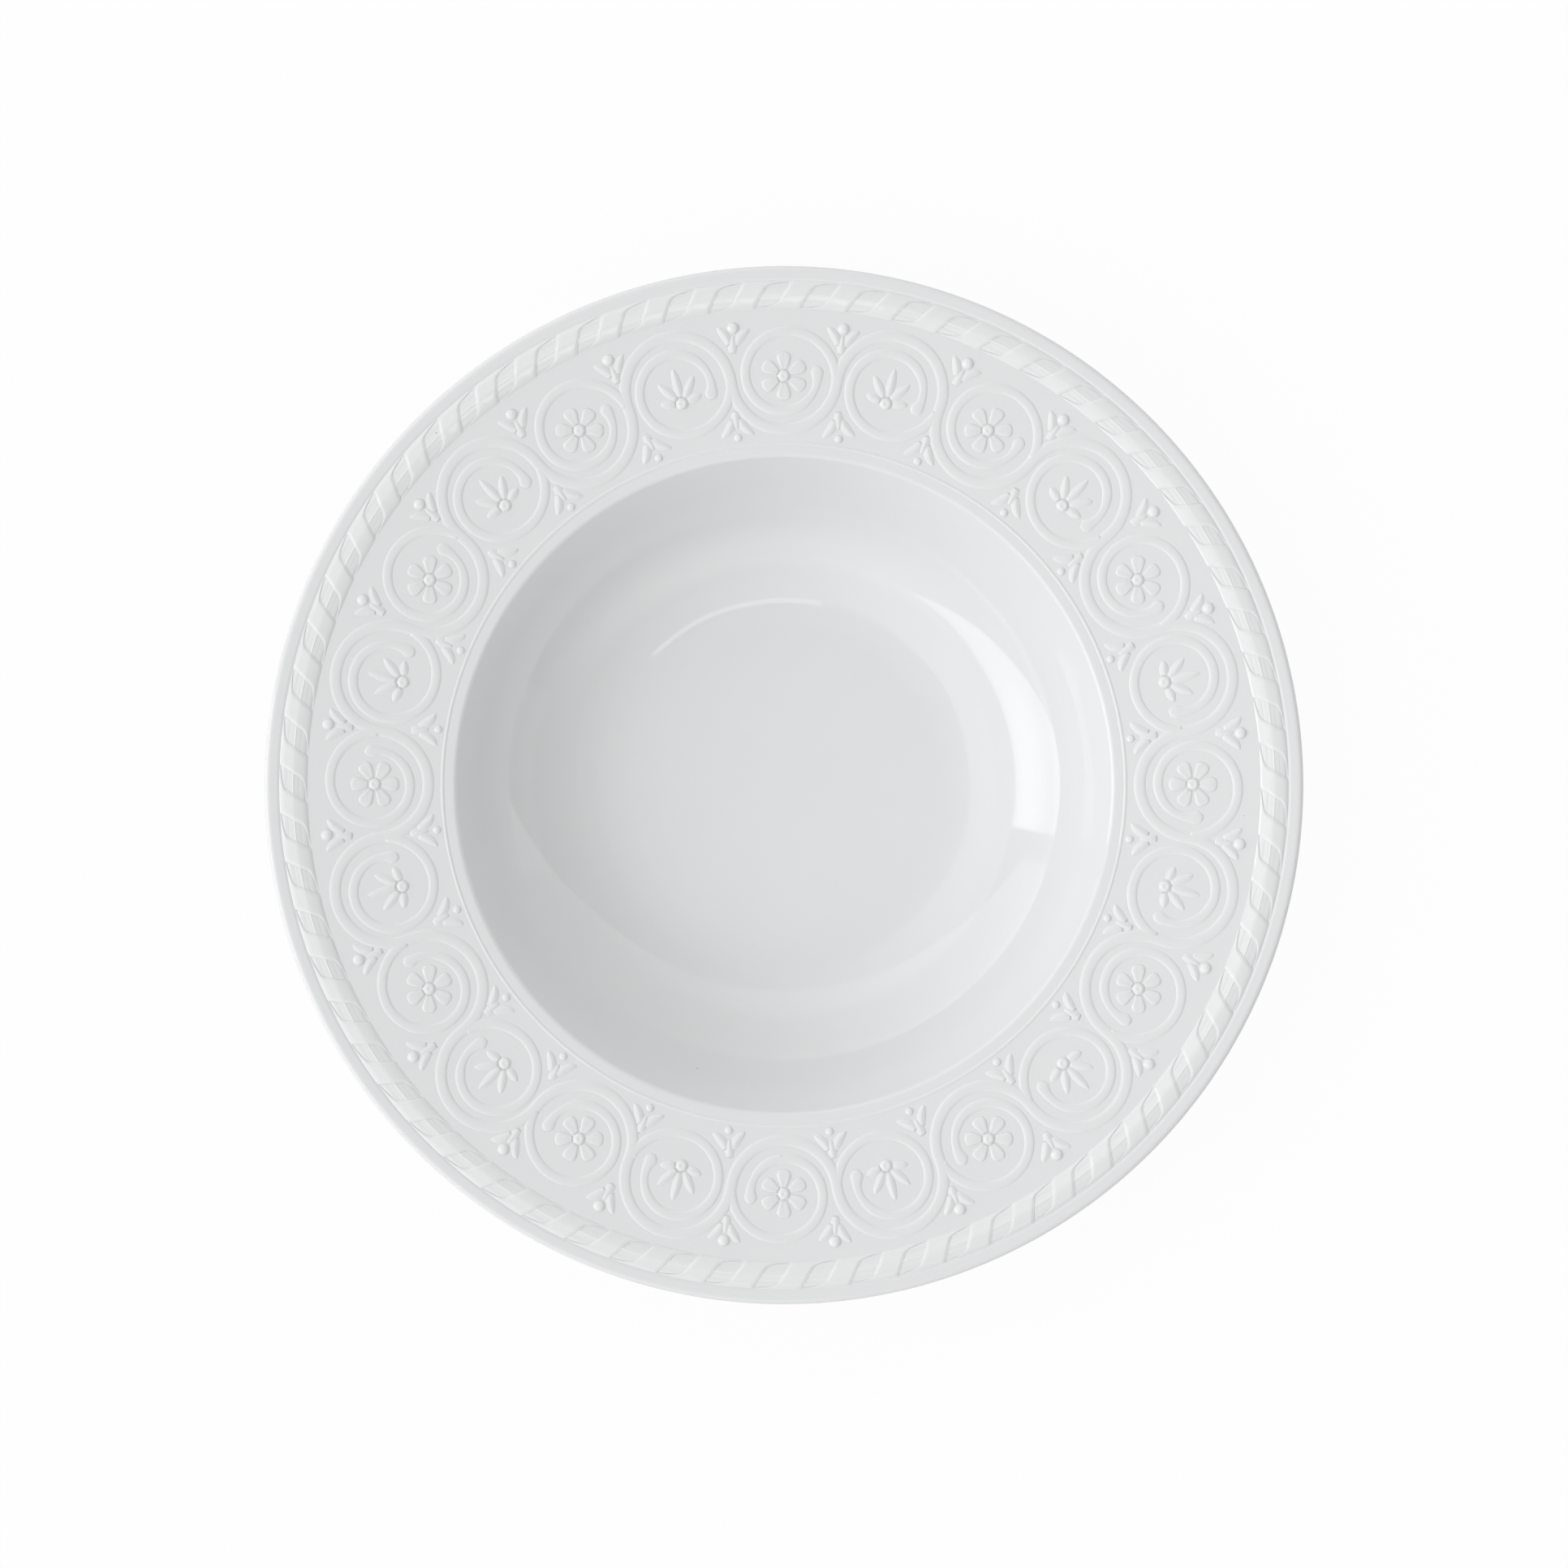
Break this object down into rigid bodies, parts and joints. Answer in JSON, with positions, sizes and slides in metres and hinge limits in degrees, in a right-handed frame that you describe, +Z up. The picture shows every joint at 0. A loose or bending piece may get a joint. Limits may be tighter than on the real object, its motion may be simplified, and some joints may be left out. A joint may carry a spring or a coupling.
{
  "type": "rimmed soup plate",
  "caption": "White porcelain soup plate with a deep round well, a broad rim carrying a moulded vine scroll and a ribbon-and-rod rope border, on a low foot ring.",
  "frame": {"origin": "centre of the bearing face of the foot ring, on the table", "axes": "+Z up along the plate's axis of turning; X and Y in the table's plane"},
  "size_m": [0.24, 0.24, 0.0367],
  "materials": {
    "glazed_body": "glossy white glaze over porcelain",
    "glazed_relief": "glossy white glaze, a little thinner over the relief",
    "bare_foot": "bare fired porcelain on the bearing face, glaze on the sides"
  },
  "bodies": {
    "root": {"plate_body": "glazed_body", "foot_ring": "bare_foot", "verge_line": "glazed_relief", "rope_rod": "glazed_relief", "rope_ribbon": "glazed_relief", "vine_scroll": "glazed_relief", "leaf_sprays": "glazed_relief", "rosettes": "glazed_relief", "leaf_tufts": "glazed_relief", "pearls": "glazed_relief"}
  },
  "joints": []
}
